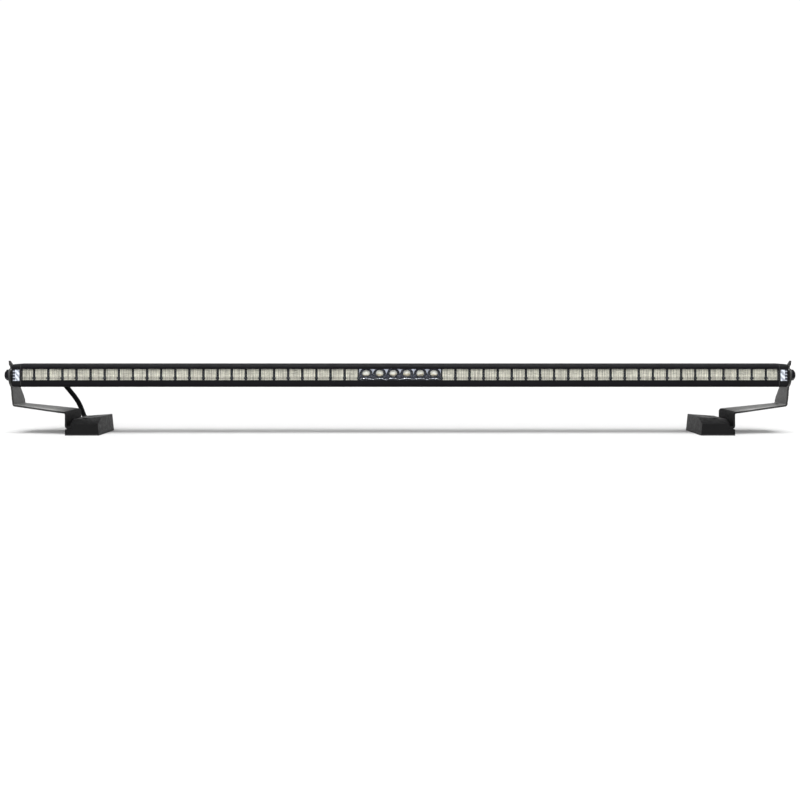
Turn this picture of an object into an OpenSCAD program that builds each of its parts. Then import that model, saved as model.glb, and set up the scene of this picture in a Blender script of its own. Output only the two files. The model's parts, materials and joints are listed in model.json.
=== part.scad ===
// Slim single-row LED light bar on two tilting end brackets.
// Units: millimetres. X runs along the bar, -Y is the side the light leaves, Z is up.
// The origin lies on the mounting surface, midway along and across the object.

/* [Bar] */
// Length of the bar over its end caps
bar_len = 1300; // [1000:1:1600]
// Height of the bar
bar_h = 38.5; // [34:0.5:50]
// Depth of the bar, with its rear fins
bar_d = 50; // [46:1:64]
// Height of the bar's underside above the mounting surface
bar_bottom = 81.2; // [72:0.1:110]
// Radius of the bar's long edges and of the end caps' outer corners
edge_r = 5; // [2:0.5:6]
// Length of an end cap
cap_len = 14.5; // [14:0.5:24]
// Thickness of the gasket behind an end cap
gasket_t = 1; // [0.5:0.1:2]

/* [Front window] */
// Height of the window between the housing's lips
window_h = 18.6; // [14:0.1:20]
// Height of the window's middle above the bar's underside
window_mid = 20.8; // [18:0.1:21]
// Thickness of the housing's front lips
lip_t = 1.6; // [1:0.1:3]
// Thickness of the front lens
lens_t = 3; // [2:0.1:4]
// Height that each lip holds of the lens
lens_grip = 2.7; // [2:0.1:3]
// Thickness of the seal behind the lens
seal_t = 0.8; // [0.5:0.1:1.5]

/* [Housing] */
// Height of the inner channels
channel_h = 20; // [18:0.1:21]
// Distance from the front face to the web that carries the LED boards
web_y = 24; // [23:0.5:28]
// Thickness of the web
web_t = 3; // [2:0.1:4]
// Depth of the rear channel that holds the driver
rear_channel_d = 12; // [11:0.5:15]
// Thickness of the wall behind the rear channel
back_wall = 3; // [2:0.1:4]
// Number of rear fins
fins = 6; // [4:1:8]
// Thickness of a rear fin
fin_t = 2.4; // [1.5:0.1:4]

/* [LEDs] */
// Number of spot cells in the middle
spot_cells = 6; // [2:2:10]
// Pitch of the spot cells
spot_pitch = 22.8; // [22:0.1:26]
// Pitch that the flood cells come near to
flood_pitch_goal = 23.5; // [20:0.1:28]
// Width of the bar between two flood cells
cell_wall = 2.3; // [1.5:0.1:4]
// Thickness of the LED boards
board_t = 1.6; // [1:0.1:2]
// Side of an LED package
led_w = 3.5; // [2:0.1:5]
// Thickness of the thermal pad
pad_t = 0.6; // [0.3:0.1:1]

/* [Pivot] */
// Distance of the tilt axis behind the front face
pivot_y = 22; // [20:0.5:26]
// Height of the tilt axis above the bar's underside
pivot_up = 19.3; // [17:0.1:20]
// Diameter of the pivot bolt's thread
pivot_d = 8; // [6:1:8]
// Diameter of the pivot bolt's shoulder, on which the bracket turns
shoulder_d = 10; // [9:0.5:12]
// Gap between end cap and bracket, filled by the isolator
bracket_gap = 3; // [2:0.5:5]
// Diameter of the lock screw
lock_d = 5; // [4:1:6]
// Distance of the lock screw behind the tilt axis
lock_r = 16; // [15.5:0.5:18]
// Greatest tilt each way, in degrees
tilt_max = 20; // [10:1:25]

/* [Bracket] */
// Thickness of the bracket's sheet
sheet_t = 3; // [2:0.5:4]
// Radius of the bracket's round head
head_r = 22.2; // [21.5:0.1:26]
// Height of the arm's underside at its outer end
arm_z = 47.4; // [44:0.1:56]
// Fall of the arm towards the foot, in degrees
arm_fall = 7; // [0:0.5:9]
// Distance from the bar's end back to the step-down plate
arm_reach = 87; // [70:1:110]
// Inside radius of the bends
bend_r = 2; // [1:0.5:4]

/* [Foot] */
// Width of the foot along the bar
foot_w = 57; // [50:0.5:70]
// Depth of the foot across the bar
foot_d = 94; // [88:1:120]
// Height of the foot at its outer end
foot_h = 25.9; // [23:0.1:34]
// Height of the lip that the bracket's flange lies on
lip_h = 10.5; // [9:0.5:14]
// Thickness of the rubber pad under the foot
pad_h = 2; // [1:0.5:4]
// Diameter of the foot's mounting holes
mount_hole_d = 6.6; // [5.5:0.1:8.5]
// Distance between the foot's two mounting holes
mount_pitch = 40; // [30:1:44]

/* [Cable] */
// Diameter of the power cable
cable_d = 8.6; // [6:0.1:9]

/* [Hidden] */

// Clearances and overlaps
fit = 0.2;         // between pieces that slide together
run = 0.05;        // between the bracket and what it turns on
cut = 1;           // how far a cutting shape runs past a face
$fn = 48;

// Places along X
bar_half = bar_len / 2;
housing_half = bar_half - cap_len - gasket_t;
cell_gap = 0.9;                                  // between spot and flood optics
spot_half = spot_cells * spot_pitch / 2;
flood_start = spot_half + cell_gap;
optics_in = 3.7;                                 // how far the optics reach into the end caps
flood_len = housing_half + optics_in - flood_start;
flood_cells = round(flood_len / flood_pitch_goal);
flood_pitch = flood_len / flood_cells;

// Places across Y, measured back from the bar's front face
front_y = -foot_d / 2;
seal_y = lip_t + lens_t;
optics_y = seal_y + seal_t;
flood_lens_t = 2;
pad_y = web_y - pad_t;
board_y = pad_y - board_t;
led_t = 1;
rear_y = web_y + web_t;
back_y = rear_y + rear_channel_d;
fin_y = back_y + back_wall;

// Places up Z, measured from the bar's underside
groove_h = window_h + 2 * lens_grip;
optics_h = channel_h - 2 * fit;
seal_end = 0.8;                                  // the seal's opening ends this far from the housing's end
screw_up = [window_mid / 2 - channel_h / 4, (bar_h + window_mid + channel_h / 2) / 2];
screw_back = [14, 34];

// End cap screws, M3
end_screw_d = 3;
end_head_r = 2.75;
end_head_t = 2;
end_screw_in = 12;                               // thread length in the housing

// Badge in the end cap's front
badge_w = 10.8;
badge_h = 18.5;
badge_t = 1.4;
badge_x = 7.4;                                   // middle of the badge from the cap's outer face

// LED board screws, M2.5, one under every eighth wall between flood cells
board_screw_d = 2.5;
board_head_r = 2.3;
board_head_t = 1.4;
board_screw_step = 8;
flood_screws = [for (k = [board_screw_step / 2 : board_screw_step : flood_cells - 1])
    flood_start + k * flood_pitch];
spot_screws = [-2 * spot_pitch, 0, 2 * spot_pitch];
jumper_w = 7;
jumper_t = 0.9;

// Cable gland and vent in the housing's back
gland_x = -598;
gland_up = 18;
gland_thread_r = 6;
gland_flat_r = 12;
gland_hex_r = 10;
gland_hex_t = 6;
gland_boss_r = 7;                                // round end of the body, and the seal on it
gland_boss_l = 5;
gland_nut_l = 14;
gland_nose_l = 5;
gland_nose_r = 8.4;
vent_x = 598;
vent_thread_r = 4;
vent_bore_r = 1.5;
vent_hex_r = 8;
vent_hex_t = 3;
vent_cap_r = 6.4;
vent_cap_t = 3.5;
membrane_r = 4.4;
membrane_t = 0.4;

// Tilt axis and the stack of washers on it
pivot_z = bar_bottom + pivot_up;
plate_in = bar_half + bracket_gap;               // inner face of the bracket's leg
plate_out = plate_in + sheet_t;
isolator_r = 12;
washer_t = 1.6;
lock_washer_t = 2;
pivot_thread_l = 10.5;
thread_gap = 1;                                  // between a thread's end and its hole's bottom
bolt_flange_r = 10.8;
bolt_flange_t = 1.8;
bolt_hex_r = 9.2;
bolt_hex_t = 5;
bolt_dome_t = 1.4;
bolt_socket_r = 4;
lock_head_t = 2.6;
lock_ring_t = 1;

// Bracket and foot along X
step_out = bar_half - arm_reach;                 // outer face of the step-down plate
foot_out = step_out - 2;                         // outer face of the foot's lip
foot_in = foot_out - foot_w;
block_out = foot_out - 11;                       // outer face of the foot above the slot
flange_l = 38;
flange_in = step_out - flange_l;
bolt_x = foot_out - 26.75;                       // mounting holes
foot_side = 6;                                   // bracket stands in from the foot's sides
foot_rise = 3.2;                                 // rise of the foot's top towards the middle
foot_lean = 3;                                   // the foot's ends lean outwards this far
foot_chamfer_y = 27;
foot_chamfer_z = 6.4;
foot_head_r = 4;

// Power cable: where its middle runs, from inside the gland to the connector
cable_pts = [
    [-598, -7, 99.2], [-598, 4, 99.2], [-598, 15, 99.2], [-598, 26, 98.6],
    [-598, 37, 95.6], [-597.4, 47, 90.2], [-595.4, 56, 82.8], [-592, 64, 74.6],
    [-587.6, 72, 65.8], [-583, 80, 56.4], [-579.4, 88, 46.6], [-577.2, 95.6, 36.6],
    [-576, 103, 27.2], [-575.2, 111, 19], [-574.4, 120, 12.6], [-573.2, 130, 8.8],
    [-571.8, 141, 7.6], [-570.6, 151, 7.5], [-570, 161, 7.6], [-570, 174, 7.6]];
cable_sides = 12;
plug_x = -570;
plug_y = 162;                                    // back of the connector's collar
plug_z = 7.6;
plug_w = 17;
plug_h = 15;
plug_l = 30;
collar_r = 6.8;
collar_l = 9;
socket_d = 15;
socket_wall = 2;
contact_r = 1.2;
contact_x = 3.2;
plug_end = collar_l + plug_l;
plug_seal_r = collar_r - 1.2;
plug_seal_l = 5;
cable_in_plug = 4;                               // depth of the cable's bore past the collar
plug_lock = [11, 3, 6];

// Small internal pieces
lead_r = 0.9;
lead_dx = 2.2;
lead_cell = floor((-gland_x - 2 * lead_dx - flood_start) / flood_pitch);
led_lead_x = -flood_start - lead_cell * flood_pitch;  // behind a wall between two flood cells
driver_x = -605;
driver_l = 300;
driver_gap = 1;
led_lead_up = window_mid;

// ---------------------------------------------------------------- helpers

module bar_frame() translate([0, front_y, bar_bottom]) children();

module side(s) if (s < 0) mirror([1, 0, 0]) children(); else children();

module both() {
    children();
    mirror([1, 0, 0]) children();
}

// An outline in Y and Z, drawn out along X from x0
module along_x(x0, l) translate([x0, 0, 0]) rotate([90, 0, 90]) linear_extrude(l) children();

// An outline in X and Z, drawn out along Y from y0
module along_y(y0, l) translate([0, y0 + l, 0]) rotate([90, 0, 0]) linear_extrude(l) children();

module rod_x(r, l) rotate([0, 90, 0]) cylinder(r = r, h = l);

module rod_y(r, l) rotate([-90, 0, 0]) cylinder(r = r, h = l);

module ring_x(r, bore, l) rotate([0, 90, 0]) difference() {
    cylinder(r = r, h = l);
    translate([0, 0, -cut]) cylinder(r = bore, h = l + 2 * cut);
}

// A block with a corner at [x, y] and its middle at z
module slab(x, l, y, d, z, h) translate([x, y, z - h / 2]) cube([l, d, h]);

// A rectangle with round corners, from the origin up and to the right
module round_rect(w, h, r) {
    translate([r, 0]) square([w - 2 * r, h]);
    translate([0, r]) square([w, h - 2 * r]);
    for (x = [r, w - r], y = [r, h - r]) translate([x, y]) circle(r);
}

// ---------------------------------------------------------------- housing

module bar_outline() round_rect(bar_d, bar_h, edge_r);

module band(y0, y1, h) translate([y0, window_mid - h / 2]) square([y1 - y0, h]);

module housing_section() difference() {
    bar_outline();
    band(-cut, lip_t + cut, window_h);
    band(lip_t, optics_y, groove_h);
    band(optics_y - cut, web_y, channel_h);
    band(rear_y, back_y, channel_h);
    gap = (bar_h - fins * fin_t) / (fins - 1);
    for (i = [0 : fins - 2])
        translate([fin_y, fin_t + i * (fin_t + gap)]) square([bar_d, gap]);
}

module screw_places() for (y = screw_back, z = screw_up) translate([0, y, z]) children();

module housing() color("#16181b") bar_frame() difference() {
    along_x(-housing_half, 2 * housing_half) housing_section();
    both() screw_places()
        translate([housing_half - end_screw_in, 0, 0]) rod_x(end_screw_d / 2, end_screw_in + cut);
    for (x = [gland_x, vent_x]) translate([x, fin_y, gland_up]) rod_y(gland_flat_r, bar_d);
    translate([gland_x, back_y - cut, gland_up]) rod_y(gland_thread_r, back_wall + 2 * cut);
    translate([vent_x, back_y - cut, gland_up]) rod_y(vent_thread_r, back_wall + 2 * cut);
    both() for (x = flood_screws) translate([x, web_y - cut, window_mid])
        rod_y(board_screw_d / 2, web_t + 2 * cut);
    for (x = spot_screws) translate([x, web_y - cut, window_mid])
        rod_y(board_screw_d / 2, web_t + 2 * cut);
    for (dx = [-lead_dx, lead_dx]) translate([led_lead_x + dx, web_y - cut, led_lead_up])
        rod_y(lead_r + fit, web_t + 2 * cut);
}

// ---------------------------------------------------------------- ends

// The end cap, drawn for the +X end
module end_cap(s) color("#121316") bar_frame() side(s) difference() {
    intersection() {
        along_x(bar_half - cap_len, cap_len) bar_outline();
        along_y(-cut, bar_d + 2 * cut) translate([bar_half - cap_len - edge_r, 0])
            round_rect(cap_len + edge_r, bar_h, edge_r);
    }
    slab(bar_half - badge_x - badge_w / 2 - fit, badge_w + 2 * fit, -cut, badge_t + fit + cut,
        window_mid - 1.1, badge_h + 2 * fit);
    slab(bar_half - cap_len - cut, optics_in - gasket_t + fit + cut, optics_y - fit,
        web_y - optics_y + 2 * fit, window_mid, channel_h);
    translate([bar_half - pivot_thread_l, pivot_y, pivot_up])
        rod_x(pivot_d / 2, pivot_thread_l + cut);
    translate([bar_half - pivot_thread_l, pivot_y + lock_r, pivot_up])
        rod_x(lock_d / 2, pivot_thread_l + cut);
    screw_places() {
        translate([bar_half - cap_len - cut, 0, 0]) rod_x(end_screw_d / 2 + fit, cap_len + 2 * cut);
        translate([bar_half - end_head_t - fit, 0, 0]) rod_x(end_head_r + fit, end_head_t + cut);
    }
}

module end_gasket(s) color("#0c0c0c") bar_frame() side(s) difference() {
    along_x(housing_half, gasket_t) difference() {
        translate([0.5, 0.5]) round_rect(bar_d - 1, bar_h - 1, edge_r - 0.5);
        band(optics_y - fit, web_y + fit, channel_h);
        band(rear_y + 1, back_y - 1, channel_h - 2);
    }
    screw_places() translate([housing_half - cut, 0, 0])
        rod_x(end_screw_d / 2 + fit, gasket_t + 2 * cut);
}

module end_screws() color("#3a3a3c") bar_frame() both() screw_places() {
    shank = cap_len + gasket_t + end_screw_in - end_head_t - fit - 1;
    translate([bar_half - end_head_t - fit, 0, 0]) difference() {
        rod_x(end_head_r, end_head_t);
        translate([end_head_t - 1.2, 0, 0]) rotate([0, 90, 0]) cylinder(r = 1.15, h = cut + 1.2, $fn = 6);
    }
    translate([bar_half - end_head_t - fit - shank, 0, 0]) rod_x(end_screw_d / 2, shank);
}

module end_badge(s) color("#dfe3e8") bar_frame() side(s) difference() {
    slab(bar_half - badge_x - badge_w / 2, badge_w, 0.1, badge_t, window_mid - 1.1, badge_h);
    for (i = [-1, 0, 1]) slab(bar_half - badge_x + badge_w / 6, badge_w / 3 - 0.8, -cut, cut + 0.7,
        window_mid - 1.1 + i * 5, 1.8);
}

// ---------------------------------------------------------------- optics

module front_lens() color("#e6ecee") bar_frame()
    slab(-housing_half + fit, 2 * (housing_half - fit), lip_t, lens_t, window_mid, groove_h - 2 * fit);

module lens_seal() color("#101010") bar_frame() difference() {
    slab(-housing_half + fit, 2 * (housing_half - fit), seal_y, seal_t, window_mid, groove_h - 2 * fit);
    slab(-housing_half + seal_end, 2 * (housing_half - seal_end), seal_y - cut, seal_t + 2 * cut,
        window_mid, channel_h - 1);
}

// Fluted lens over the flood cells, with a shallow groove between two cells
module flood_lens(s) color("#efe6cf") bar_frame() side(s) difference() {
    slab(flood_start, flood_len, optics_y, flood_lens_t, window_mid, optics_h);
    for (k = [1 : flood_cells - 1]) slab(flood_start + k * flood_pitch - 0.9, 1.8,
        optics_y - cut, cut + 0.8, window_mid, optics_h + cut);
}

module flood_reflector(s) color("#d9d2bd") bar_frame() side(s) {
    y = optics_y + flood_lens_t;
    d = board_y - y;
    mouth_w = flood_pitch - cell_wall;
    mouth_h = optics_h - 2;
    throat = led_w + 3;
    difference() {
        slab(flood_start, flood_len, y, d, window_mid, optics_h);
        for (k = [0 : flood_cells - 1])
            translate([flood_start + (k + 0.5) * flood_pitch, y - 0.01, window_mid])
                rotate([-90, 0, 0])
                    linear_extrude(d + 0.02, scale = [throat / mouth_w, throat / mouth_h], slices = 1,
                        $fn = 4)
                        square([mouth_w, mouth_h], center = true);
        for (x = flood_screws) translate([x, board_y - board_head_t - fit, window_mid])
            rod_y(board_head_r + fit, board_head_t + cut);
        slab(flood_start - cut, jumper_w, board_y - jumper_t - fit, jumper_t + cut, window_mid, 6);
    }
}

// A cup, open towards the front: its wall follows a parabola from the throat to the mouth
module cup(mouth, throat, depth) rotate([90, 0, 0]) rotate_extrude($fn = 48)
    polygon(concat([[0, 0]], [for (i = [0 : 10]) [throat + (mouth - throat) * sqrt(i / 10), depth * i / 10]],
        [[mouth, depth + cut], [0, depth + cut]]));

module spot_reflector() color("#e9e4d4") bar_frame() {
    d = board_y - optics_y;
    difference() {
        slab(-spot_half, 2 * spot_half, optics_y, d, window_mid, optics_h);
        for (k = [0 : spot_cells - 1]) translate([(k + 0.5) * spot_pitch - spot_half, 0, window_mid]) {
            translate([0, board_y - led_t - 0.4, 0])
                cup(spot_pitch / 2 - 0.8, led_w / 2 + 1.2, d - led_t - 0.4);
            translate([0, board_y - led_t - 1, 0]) rod_y(led_w / 2 + 1.2, led_t + 2);
        }
        for (x = spot_screws) translate([x, board_y - board_head_t - fit, window_mid])
            rod_y(board_head_r + fit, board_head_t + cut);
        both() slab(spot_half - jumper_w + cut, jumper_w, board_y - jumper_t - fit,
            jumper_t + cut, window_mid, 6);
    }
}

// ---------------------------------------------------------------- electronics

module flood_board(s) color("#e8e8e4") bar_frame() difference() {
    side(s) slab(flood_start, flood_len, board_y, board_t, window_mid, optics_h);
    side(s) for (x = flood_screws) translate([x, board_y - cut, window_mid])
        rod_y(board_screw_d / 2, board_t + 2 * cut);
    if (s < 0) for (dx = [-lead_dx, lead_dx]) translate([led_lead_x + dx, board_y - cut, led_lead_up])
        rod_y(lead_r, board_t + 2 * cut);
}

module spot_led_board() color("#e8e8e4") bar_frame() difference() {
    slab(-spot_half, 2 * spot_half, board_y, board_t, window_mid, optics_h);
    for (x = spot_screws) translate([x, board_y - cut, window_mid])
        rod_y(board_screw_d / 2, board_t + 2 * cut);
}

module led(x) translate([x, 0, 0]) {
    slab(-led_w / 2, led_w, board_y - led_t / 2, led_t / 2, window_mid, led_w);
    translate([0, board_y - led_t, window_mid]) rod_y(led_w * 0.4, led_t / 2);
}

module flood_leds(s) color("#f4d35e") bar_frame() side(s)
    for (k = [0 : flood_cells - 1]) led(flood_start + (k + 0.5) * flood_pitch);

module spot_leds() color("#f4d35e") bar_frame()
    for (k = [0 : spot_cells - 1]) led((k + 0.5) * spot_pitch - spot_half);

module board_screw(x) translate([x, 0, window_mid]) {
    translate([0, board_y, 0]) rod_y(board_screw_d / 2, board_t + pad_t + web_t - 0.5);
    translate([0, board_y - board_head_t, 0]) rod_y(board_head_r, board_head_t);
}

module board_screws() color("#b9b9bb") bar_frame() {
    both() for (x = flood_screws) board_screw(x);
    for (x = spot_screws) board_screw(x);
}

module board_jumpers() color("#b87333") bar_frame() both() for (dz = [-1.6, 1.6])
    slab(spot_half - 4, 8 + cell_gap, board_y - jumper_t, jumper_t, window_mid + dz, 1.4);

module thermal_pad() color("#9aa3ad") bar_frame() difference() {
    slab(-flood_start - flood_len, 2 * (flood_start + flood_len), pad_y, pad_t, window_mid, optics_h - 1);
    both() for (x = flood_screws) translate([x, pad_y - cut, window_mid])
        rod_y(board_screw_d / 2, pad_t + 2 * cut);
    for (x = spot_screws) translate([x, pad_y - cut, window_mid])
        rod_y(board_screw_d / 2, pad_t + 2 * cut);
    for (dx = [-lead_dx, lead_dx]) translate([led_lead_x + dx, pad_y - cut, led_lead_up])
        rod_y(lead_r + fit, pad_t + 2 * cut);
}

// The driver board slides into the rear channel, a small gap behind the web
driver_y = rear_y + driver_gap;
driver_back = driver_y + board_t;

module driver_board() color("#1d5b35") bar_frame()
    slab(driver_x, driver_l, driver_y, board_t, window_mid, optics_h);

module driver_inductors() color("#3b3b3b") bar_frame() for (x = [60, 120, 180])
    translate([driver_x + x, driver_back, window_mid]) difference() {
        rod_y(6.5, 5.5);
        translate([0, 1.5, 0]) rod_y(2, 5);
    }

module driver_capacitors() color("#4c5c75") bar_frame() for (x = [36, 90, 150, 210, 250])
    translate([driver_x + x, driver_back, window_mid + 4]) rod_y(3.2, 7);

module driver_chips() color("#1a1a1a") bar_frame() for (x = [76, 136, 196, 232, 272])
    slab(driver_x + x, 6, driver_back, 1.8, window_mid - 3, 7);

module supply_leads() color("#8b1a1a") bar_frame() for (dx = [-lead_dx, lead_dx])
    translate([gland_x + dx, driver_back, gland_up]) rod_y(lead_r, cable_pts[0][1] - front_y - driver_back);

module led_leads() color("#b22222") bar_frame() for (dx = [-lead_dx, lead_dx])
    translate([led_lead_x + dx, board_y, led_lead_up]) rod_y(lead_r, driver_y - board_y);

// ---------------------------------------------------------------- gland and vent

cable_bore_r = cable_d / 2 + fit;
gland_face = fin_y + gland_hex_t;                // front of the clamping nut
gland_end = gland_face + gland_nut_l;            // where the cable leaves

module gland_body() color("#1b1b1b") bar_frame() translate([gland_x, 0, gland_up]) difference() {
    union() {
        translate([0, back_y, 0]) rod_y(gland_thread_r, back_wall);
        translate([0, fin_y, 0]) rotate([-90, 0, 0]) cylinder(r = gland_hex_r, h = gland_hex_t, $fn = 6);
        translate([0, gland_face, 0]) rod_y(gland_boss_r, gland_boss_l);
    }
    translate([0, back_y - cut, 0]) rod_y(cable_bore_r, bar_d);
}

module gland_seal() color("#2b2b2b") bar_frame()
    translate([gland_x, gland_face + gland_boss_l, gland_up]) difference() {
        rod_y(gland_boss_r, gland_boss_l);
        translate([0, -cut, 0]) rod_y(cable_d / 2, gland_boss_l + 2 * cut);
    }

// Domed nut: hexagonal skirt, then a rounded nose around the cable
module gland_nut() color("#1b1b1b") bar_frame() translate([gland_x, gland_face, gland_up])
    difference() {
        union() {
            rotate([-90, 0, 0]) cylinder(r = gland_hex_r, h = gland_nut_l - gland_nose_l, $fn = 6);
            rotate([-90, 0, 0]) rotate_extrude() polygon(concat([[0, 0]],
                [for (a = [0 : 15 : 90])
                    [gland_nose_r - 3 * (1 - cos(a)), gland_nut_l - gland_nose_l * (1 - sin(a))]],
                [[0, gland_nut_l]]));
        }
        translate([0, -cut, 0]) rod_y(gland_boss_r, 2 * gland_boss_l + cut);
        rod_y(cable_bore_r, gland_nut_l + cut);
    }

membrane_y = fin_y + vent_hex_t + 1;

module vent_body() color("#222325") bar_frame() translate([vent_x, 0, gland_up]) difference() {
    union() {
        translate([0, back_y, 0]) rod_y(vent_thread_r, back_wall);
        translate([0, fin_y, 0]) rotate([-90, 0, 0]) cylinder(r = vent_hex_r, h = vent_hex_t, $fn = 6);
        translate([0, fin_y + vent_hex_t, 0]) rod_y(vent_cap_r, vent_cap_t);
    }
    translate([0, back_y - cut, 0]) rod_y(vent_bore_r, back_wall + vent_hex_t + 2.5 + cut);
    translate([0, membrane_y, 0]) rod_y(membrane_r + 0.1, membrane_t + 0.1);
    for (a = [0 : 60 : 300]) rotate([0, a, 0]) translate([0, membrane_y + 0.2, 0]) vent_slot();
}

// A vent slot, from the membrane's seat out through the cap's side
module vent_slot() translate([4, 0, -0.8]) cube([4, 1.2, 1.6]);

module vent_membrane() color("#c9cccf") bar_frame()
    translate([vent_x, membrane_y, gland_up]) rod_y(membrane_r, membrane_t);

// ---------------------------------------------------------------- cable and connector

function unit(v) = v / norm(v);

// The ring of points round the cable at point i
function cable_ring(i) =
    let (a = cable_pts[max(i - 1, 0)], b = cable_pts[min(i + 1, len(cable_pts) - 1)],
        t = unit(b - a), u = unit(cross(t, [1, 0, 0])), v = cross(t, u))
    [for (k = [0 : cable_sides - 1]) let (w = 360 * k / cable_sides)
        cable_pts[i] + cable_d / 2 * (cos(w) * u + sin(w) * v)];

module power_cable() color("#17181a") {
    rings = len(cable_pts);
    n = cable_sides;
    polyhedron(
        points = [for (i = [0 : rings - 1]) each cable_ring(i)],
        faces = concat(
            [[for (k = [0 : n - 1]) k]],
            [for (i = [0 : rings - 2], k = [0 : n - 1]) let (m = (k + 1) % n)
                [i * n + m, i * n + k, (i + 1) * n + k, (i + 1) * n + m]],
            [[for (k = [n - 1 : -1 : 0]) (rings - 1) * n + k]]),
        convexity = 6);
}

module plug_frame() translate([plug_x, plug_y, plug_z]) children();

module connector_housing() color("#202124") plug_frame() difference() {
    union() {
        rod_y(collar_r, collar_l);
        along_y(collar_l, plug_l) translate([-plug_w / 2, -plug_h / 2]) round_rect(plug_w, plug_h, 2);
    }
    translate([0, -cut, 0]) rod_y(plug_seal_r, plug_seal_l + cut);
    rod_y(cable_bore_r, collar_l + cable_in_plug);
    along_y(plug_end - socket_d, socket_d + cut)
        translate([-plug_w / 2 + socket_wall, -plug_h / 2 + socket_wall])
            round_rect(plug_w - 2 * socket_wall, plug_h - 2 * socket_wall, 1);
    for (x = [-contact_x, contact_x])
        translate([x, collar_l + cable_in_plug - cut, 0]) rod_y(contact_r, plug_l);
}

module connector_seal() color("#c25a1c") plug_frame() difference() {
    rod_y(plug_seal_r, plug_seal_l);
    translate([0, -cut, 0]) rod_y(cable_d / 2, plug_seal_l + 2 * cut);
}

module connector_contacts() color("#c8ccd0") plug_frame() for (x = [-contact_x, contact_x])
    translate([x, collar_l + cable_in_plug, 0]) rod_y(contact_r, plug_l - socket_d + cable_in_plug);

module connector_lock() color("#d2691e") plug_frame() difference() {
    slab(-plug_lock[0] / 2, plug_lock[0], plug_end - socket_d, plug_lock[1], 0, plug_lock[2]);
    for (x = [-contact_x, contact_x])
        translate([x, plug_end - socket_d - cut, 0]) rod_y(contact_r, plug_lock[1] + 2 * cut);
}

// ---------------------------------------------------------------- pivots

module pivot_frame() translate([0, front_y + pivot_y, pivot_z]) both() children();

washer_x = plate_out + run;
head_x = washer_x + washer_t + lock_washer_t;

module pivot_bolts() color("#1c1c1e") pivot_frame() difference() {
    union() {
        translate([bar_half - pivot_thread_l + thread_gap, 0, 0])
            rod_x(pivot_d / 2, pivot_thread_l - thread_gap);
        translate([bar_half, 0, 0]) rod_x(shoulder_d / 2, head_x - bar_half);
        translate([head_x, 0, 0]) rod_x(bolt_flange_r, bolt_flange_t);
        translate([head_x + bolt_flange_t, 0, 0]) rotate([0, 90, 0])
            cylinder(r = bolt_hex_r, h = bolt_hex_t, $fn = 6);
        translate([head_x + bolt_flange_t + bolt_hex_t, 0, 0]) rotate([0, 90, 0])
            cylinder(r1 = bolt_hex_r - 1.3, r2 = bolt_hex_r - 2.6, h = bolt_dome_t);
    }
    translate([head_x + bolt_hex_t, 0, 0]) rod_x(bolt_socket_r, 4);
}

// A split spring washer
module pivot_lock_washers() color("#8d9196") pivot_frame() difference() {
    translate([washer_x + washer_t, 0, 0]) ring_x(8.6, shoulder_d / 2 + fit, lock_washer_t);
    translate([washer_x + washer_t - cut, -0.5, 0]) rotate([12, 0, 0])
        cube([lock_washer_t + 2 * cut, 1, shoulder_d]);
}

module pivot_washers() color("#7d8186") pivot_frame()
    translate([washer_x, 0, 0]) ring_x(10.5, shoulder_d / 2 + fit, washer_t);

module pivot_isolators() color("#141414") pivot_frame()
    translate([bar_half, 0, 0]) ring_x(isolator_r, shoulder_d / 2 + fit, bracket_gap - run);

lock_tip = bar_half - pivot_thread_l + thread_gap;
lock_head_x = washer_x + lock_ring_t;

module lock_screws() color("#1c1c1e") pivot_frame() translate([0, lock_r, 0]) difference() {
    union() {
        translate([lock_tip, 0, 0]) rod_x(lock_d / 2, lock_head_x - lock_tip);
        translate([lock_head_x, 0, 0]) rod_x(lock_d * 0.85, lock_head_t);
    }
    translate([lock_head_x + lock_head_t / 2, 0, 0]) rotate([0, 90, 0])
        cylinder(r = lock_d / 3, h = lock_head_t, $fn = 6);
}

module lock_washers() color("#7d8186") pivot_frame()
    translate([washer_x, lock_r, 0]) ring_x(lock_d, lock_d / 2 + fit, lock_ring_t);

// ---------------------------------------------------------------- brackets

// Centre line of the bent sheet in X and Z: leg, arm, step-down plate, flange
half_t = sheet_t / 2;
arm_mid = arm_z + half_t;
step_mid = step_out - half_t;
flange_mid = lip_h + fit / 2 + half_t;
ear_top = bar_bottom + bar_h + 6;
sheet_path = [
    [plate_in + half_t, ear_top + cut],
    [plate_in + half_t, arm_mid],
    [step_mid, arm_mid - (plate_in + half_t - step_mid) * tan(arm_fall)],
    [step_mid, flange_mid],
    [flange_in, flange_mid]];

// The sheet's surface at distance off from its centre line, with each bend as an arc
function normal(d) = [-d[1], d[0]];
function turn(a, b) = a[0] * b[1] - a[1] * b[0];
function bend_points(p, i, off) =
    let (a = unit(p[i] - p[i - 1]), b = unit(p[i + 1] - p[i]), s = sign(turn(a, b)),
        r = bend_r + half_t, w = acos(a * b), c = p[i] - a * r * tan(w / 2) + s * r * normal(a))
    [for (k = [0 : 6]) let (q = s * w * k / 6, n = normal(a))
        c - (s * r - off) * [n[0] * cos(q) - n[1] * sin(q), n[0] * sin(q) + n[1] * cos(q)]];
function sheet_side(p, off) = concat(
    [p[0] + off * normal(unit(p[1] - p[0]))],
    [for (i = [1 : len(p) - 2]) each bend_points(p, i, off)],
    [p[len(p) - 1] + off * normal(unit(p[len(p) - 1] - p[len(p) - 2]))]);
function reversed(v) = [for (i = [len(v) - 1 : -1 : 0]) v[i]];

module sheet_profile()
    polygon(concat(sheet_side(sheet_path, half_t), reversed(sheet_side(sheet_path, -half_t))));

// Outline of the leg in Y and Z: a round head with a horn at its front, on a leg that widens down
leg_z = arm_z + sheet_t + bend_r + 2;            // the leg is flat above this height
leg_front = 19;
leg_back = 73;
function leg_up(share) = leg_z + share * (bar_bottom - leg_z);

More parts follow.
